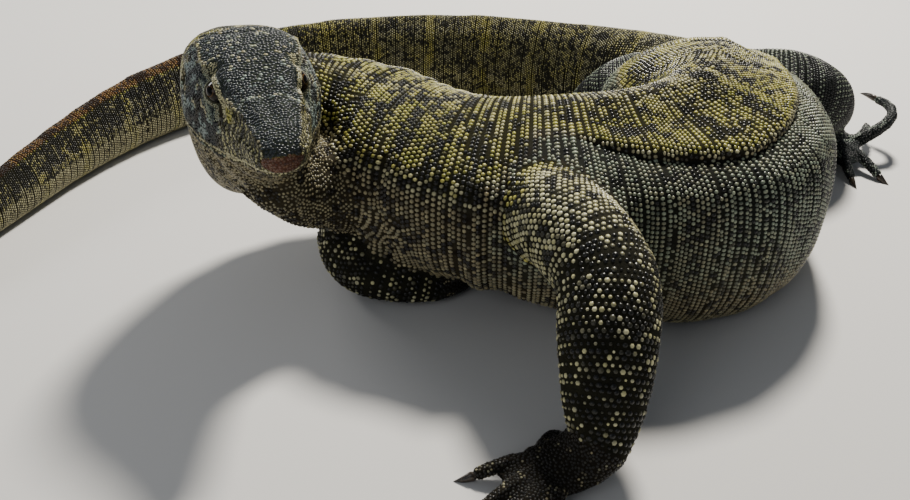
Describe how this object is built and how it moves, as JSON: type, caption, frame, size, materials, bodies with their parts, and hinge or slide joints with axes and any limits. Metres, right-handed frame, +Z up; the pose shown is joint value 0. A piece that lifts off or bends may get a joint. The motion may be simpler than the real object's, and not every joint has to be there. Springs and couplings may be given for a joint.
{
  "type": "nile monitor lizard",
  "caption": "Life-size still model of a large Nile monitor curled on the floor, head raised and turned, tail laid round behind it",
  "frame": {"origin": "middle of the bounding box, at floor level", "axes": "+Z up; the tail runs out to -X and the planted left foreleg reaches towards -Y"},
  "size_m": [1.0718, 0.7164, 0.2186],
  "materials": {
    "skin": "dark olive scaled skin with cream beads, low sheen",
    "claw": "black-brown horn, glossy",
    "eye": "dark wet eye, glossy"
  },
  "bodies": {
    "root": {"head": "skin", "lower_jaw": "skin", "throat": "skin", "neck_front": "skin", "neck_rear": "skin", "trunk_front": "skin", "trunk_middle": "skin", "trunk_rear": "skin", "tail_1": "skin", "tail_2": "skin", "tail_3": "skin", "tail_4": "skin", "tail_5": "skin", "tail_6": "skin", "fore_left_upper_arm": "skin", "fore_left_forearm": "skin", "fore_left_hand": "skin", "fore_right_upper_arm": "skin", "fore_right_forearm": "skin", "fore_right_hand": "skin", "hind_left_thigh": "skin", "hind_left_shank": "skin", "hind_left_foot": "skin", "hind_right_thigh": "skin", "hind_right_shank": "skin", "hind_right_foot": "skin", "fore_left_hand_claw_1": "claw", "fore_left_hand_claw_2": "claw", "fore_left_hand_claw_3": "claw", "fore_left_hand_claw_4": "claw", "fore_left_hand_claw_5": "claw", "fore_right_hand_claw_1": "claw", "fore_right_hand_claw_2": "claw", "fore_right_hand_claw_3": "claw", "fore_right_hand_claw_4": "claw", "fore_right_hand_claw_5": "claw", "hind_left_foot_claw_1": "claw", "hind_left_foot_claw_2": "claw", "hind_left_foot_claw_3": "claw", "hind_left_foot_claw_4": "claw", "hind_left_foot_claw_5": "claw", "hind_right_foot_claw_1": "claw", "hind_right_foot_claw_2": "claw", "hind_right_foot_claw_3": "claw", "hind_right_foot_claw_4": "claw", "hind_right_foot_claw_5": "claw", "eye_left": "eye", "eye_right": "eye"}
  },
  "joints": []
}
